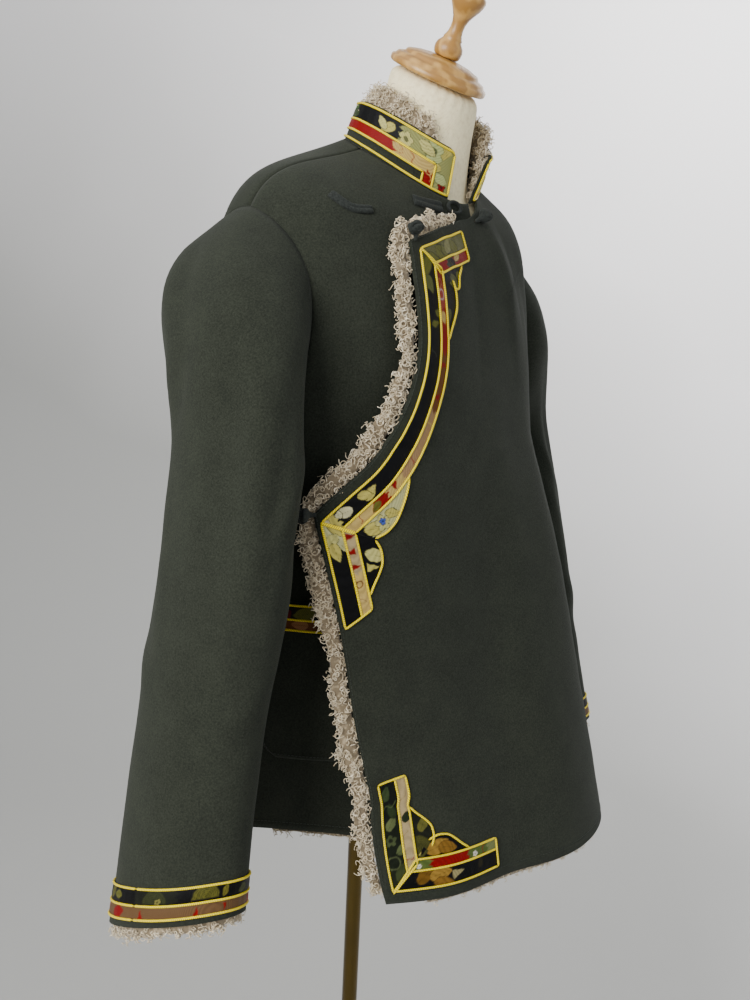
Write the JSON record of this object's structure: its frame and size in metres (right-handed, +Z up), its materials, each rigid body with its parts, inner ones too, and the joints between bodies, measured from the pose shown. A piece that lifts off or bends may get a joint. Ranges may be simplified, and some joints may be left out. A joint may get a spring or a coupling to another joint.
{
  "type": "embroidered overcoat on a dress form",
  "caption": "Fleece-lined wrap overcoat with brocade trims, knotted closures and a stand collar, shown on a limbless dress form with a turned cap, pole and round base.",
  "frame": {"origin": "middle of the base's underside, on the axis of the pole", "axes": "+Z up along the pole, +Y towards the back of the coat, so its front faces -Y, and +X towards the wearer's left"},
  "size_m": [0.6799, 0.4284, 1.611],
  "materials": {
    "wool_cloth": "matte fulled wool in a dark green-grey",
    "brocade": "woven satin brocade with flowers",
    "gold_cord": "twisted metallic cord",
    "fleece": "long curly cream fleece",
    "closure_cloth": "folded and stitched cloth",
    "linen": "natural linen over a padded form",
    "turned_wood": "clear satin varnish",
    "stand_metal": "polished, bronze toned"
  },
  "bodies": {
    "root": {"back": "wool_cloth", "front_right": "wool_cloth", "front_left": "wool_cloth", "sleeve_right": "wool_cloth", "sleeve_left": "wool_cloth", "collar": "wool_cloth", "pocket": "wool_cloth", "cuff_trim_right": "brocade", "cuff_trim_left": "brocade", "collar_trim": "brocade", "breast_trim": "brocade", "hem_corner_trim": "brocade", "scallop_breast": "brocade", "scallop_side": "brocade", "scallop_hem": "brocade", "pocket_trim": "brocade", "collar_cord": "gold_cord", "fleece_cuff_right": "fleece", "fleece_cuff_left": "fleece", "fleece_collar": "fleece", "fleece_edge": "fleece", "fleece_hem_back": "fleece", "fleece_hem_right": "fleece", "fleece_hem_left": "fleece", "neck_loop_tab": "closure_cloth", "neck_loop": "closure_cloth", "chest_loop": "closure_cloth", "side_loop": "closure_cloth", "neck_knot": "closure_cloth", "chest_knot": "closure_cloth", "side_knot": "closure_cloth", "form_torso": "linen", "form_cap": "turned_wood", "form_finial": "turned_wood", "form_pole": "stand_metal", "form_base": "stand_metal"}
  },
  "joints": []
}
